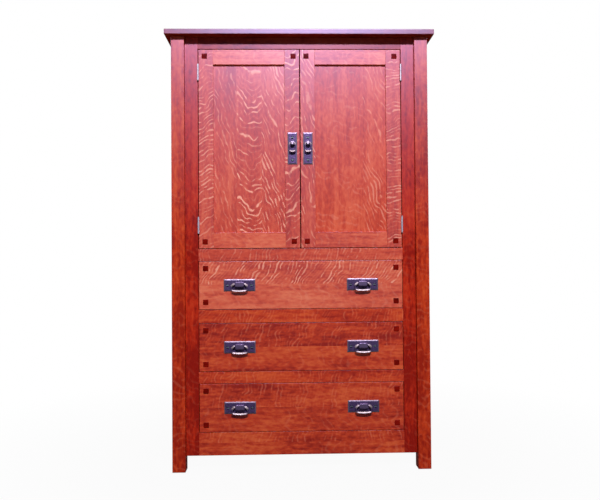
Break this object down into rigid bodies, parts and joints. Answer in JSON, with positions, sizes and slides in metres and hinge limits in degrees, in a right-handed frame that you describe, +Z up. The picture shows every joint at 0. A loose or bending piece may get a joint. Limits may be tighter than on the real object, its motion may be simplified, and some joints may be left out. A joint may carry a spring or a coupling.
{
  "type": "computer armoire",
  "caption": "Mission-style oak computer armoire: panelled doors over drawers between square posts, with dark square pegs, hammered drop pulls and a flat overhanging top.",
  "frame": {"origin": "on the floor, under the middle of the top board", "axes": "+Z up, the front faces -Y, +X to the right as seen from the front"},
  "size_m": [1.117, 0.635, 1.822],
  "materials": {
    "stained_oak": "satin lacquer",
    "dark_peg": "satin lacquer",
    "inner_oak": "satin",
    "drawer_maple": "satin",
    "dark_bronze": "hammered, dark patina",
    "bright_steel": "bright",
    "catch_plastic": "matte"
  },
  "bodies": {
    "carcass": {"top_board": "stained_oak", "front_left_post": "stained_oak", "front_right_post": "stained_oak", "rear_left_post": "stained_oak", "rear_right_post": "stained_oak", "left_side_rails": "stained_oak", "right_side_rails": "stained_oak", "left_side_panels": "stained_oak", "right_side_panels": "stained_oak", "face_stiles": "stained_oak", "top_face_rail": "stained_oak", "desk_face_rail": "stained_oak", "drawer_rails": "stained_oak", "base_face_rail": "stained_oak", "back_rails": "inner_oak", "back_panel": "inner_oak", "cabinet_floor": "inner_oak", "cabinet_shelf": "inner_oak", "floor_cleats": "inner_oak", "drawer_runners": "inner_oak", "drawer_guides": "inner_oak", "fixed_hinge_leaves": "bright_steel", "hinge_pins": "bright_steel", "shelf_pins": "bright_steel", "door_catches": "catch_plastic"},
    "left_door": {"left_door_stiles": "stained_oak", "left_door_rails": "stained_oak", "left_door_panel": "stained_oak", "left_door_pegs": "dark_peg", "left_door_hinge_leaves": "bright_steel", "left_door_pull_plate": "dark_bronze"},
    "left_ring": {"left_door_ring": "dark_bronze"},
    "right_door": {"right_door_stiles": "stained_oak", "right_door_rails": "stained_oak", "right_door_panel": "stained_oak", "right_door_pegs": "dark_peg", "right_door_hinge_leaves": "bright_steel", "right_door_pull_plate": "dark_bronze"},
    "right_ring": {"right_door_ring": "dark_bronze"},
    "lower_drawer": {"lower_drawer_front": "stained_oak", "lower_drawer_box": "drawer_maple", "lower_drawer_bottom": "drawer_maple", "lower_drawer_pegs": "dark_peg", "lower_drawer_pull_plates": "dark_bronze"},
    "lower_left_bail": {"lower_drawer_left_bail": "dark_bronze"},
    "lower_right_bail": {"lower_drawer_right_bail": "dark_bronze"},
    "middle_drawer": {"middle_drawer_front": "stained_oak", "middle_drawer_box": "drawer_maple", "middle_drawer_bottom": "drawer_maple", "middle_drawer_pegs": "dark_peg", "middle_drawer_pull_plates": "dark_bronze"},
    "middle_left_bail": {"middle_drawer_left_bail": "dark_bronze"},
    "middle_right_bail": {"middle_drawer_right_bail": "dark_bronze"},
    "upper_drawer": {"upper_drawer_front": "stained_oak", "upper_drawer_box": "drawer_maple", "upper_drawer_bottom": "drawer_maple", "upper_drawer_pegs": "dark_peg", "upper_drawer_pull_plates": "dark_bronze"},
    "upper_left_bail": {"upper_drawer_left_bail": "dark_bronze"},
    "upper_right_bail": {"upper_drawer_right_bail": "dark_bronze"}
  },
  "joints": [
    {"name": "left_door_hinge", "type": "hinge", "parent": "carcass", "child": "left_door", "pos_m": [-0.424, -0.2789, 1.334], "axis": [0, 0, -1], "range_deg": [0, 160]},
    {"name": "left_ring_swing", "type": "hinge", "parent": "left_door", "child": "left_ring", "pos_m": [-0.0325, -0.288, 1.358], "axis": [-1, 0, 0], "range_deg": [0, 90]},
    {"name": "right_door_hinge", "type": "hinge", "parent": "carcass", "child": "right_door", "pos_m": [0.424, -0.2789, 1.334], "axis": [0, 0, 1], "range_deg": [0, 160]},
    {"name": "right_ring_swing", "type": "hinge", "parent": "right_door", "child": "right_ring", "pos_m": [0.0325, -0.288, 1.358], "axis": [-1, 0, 0], "range_deg": [0, 90]},
    {"name": "lower_drawer_slide", "type": "slide", "parent": "carcass", "child": "lower_drawer", "axis": [0, -1, 0], "range_m": [0, 0.4]},
    {"name": "lower_left_bail_swing", "type": "hinge", "parent": "lower_drawer", "child": "lower_left_bail", "pos_m": [-0.256, -0.288, 0.264], "axis": [-1, 0, 0], "range_deg": [0, 90]},
    {"name": "lower_right_bail_swing", "type": "hinge", "parent": "lower_drawer", "child": "lower_right_bail", "pos_m": [0.256, -0.288, 0.264], "axis": [-1, 0, 0], "range_deg": [0, 90]},
    {"name": "middle_drawer_slide", "type": "slide", "parent": "carcass", "child": "middle_drawer", "axis": [0, -1, 0], "range_m": [0, 0.4]},
    {"name": "middle_left_bail_swing", "type": "hinge", "parent": "middle_drawer", "child": "middle_left_bail", "pos_m": [-0.256, -0.288, 0.514], "axis": [-1, 0, 0], "range_deg": [0, 90]},
    {"name": "middle_right_bail_swing", "type": "hinge", "parent": "middle_drawer", "child": "middle_right_bail", "pos_m": [0.256, -0.288, 0.514], "axis": [-1, 0, 0], "range_deg": [0, 90]},
    {"name": "upper_drawer_slide", "type": "slide", "parent": "carcass", "child": "upper_drawer", "axis": [0, -1, 0], "range_m": [0, 0.4]},
    {"name": "upper_left_bail_swing", "type": "hinge", "parent": "upper_drawer", "child": "upper_left_bail", "pos_m": [-0.256, -0.288, 0.771], "axis": [-1, 0, 0], "range_deg": [0, 90]},
    {"name": "upper_right_bail_swing", "type": "hinge", "parent": "upper_drawer", "child": "upper_right_bail", "pos_m": [0.256, -0.288, 0.771], "axis": [-1, 0, 0], "range_deg": [0, 90]}
  ]
}
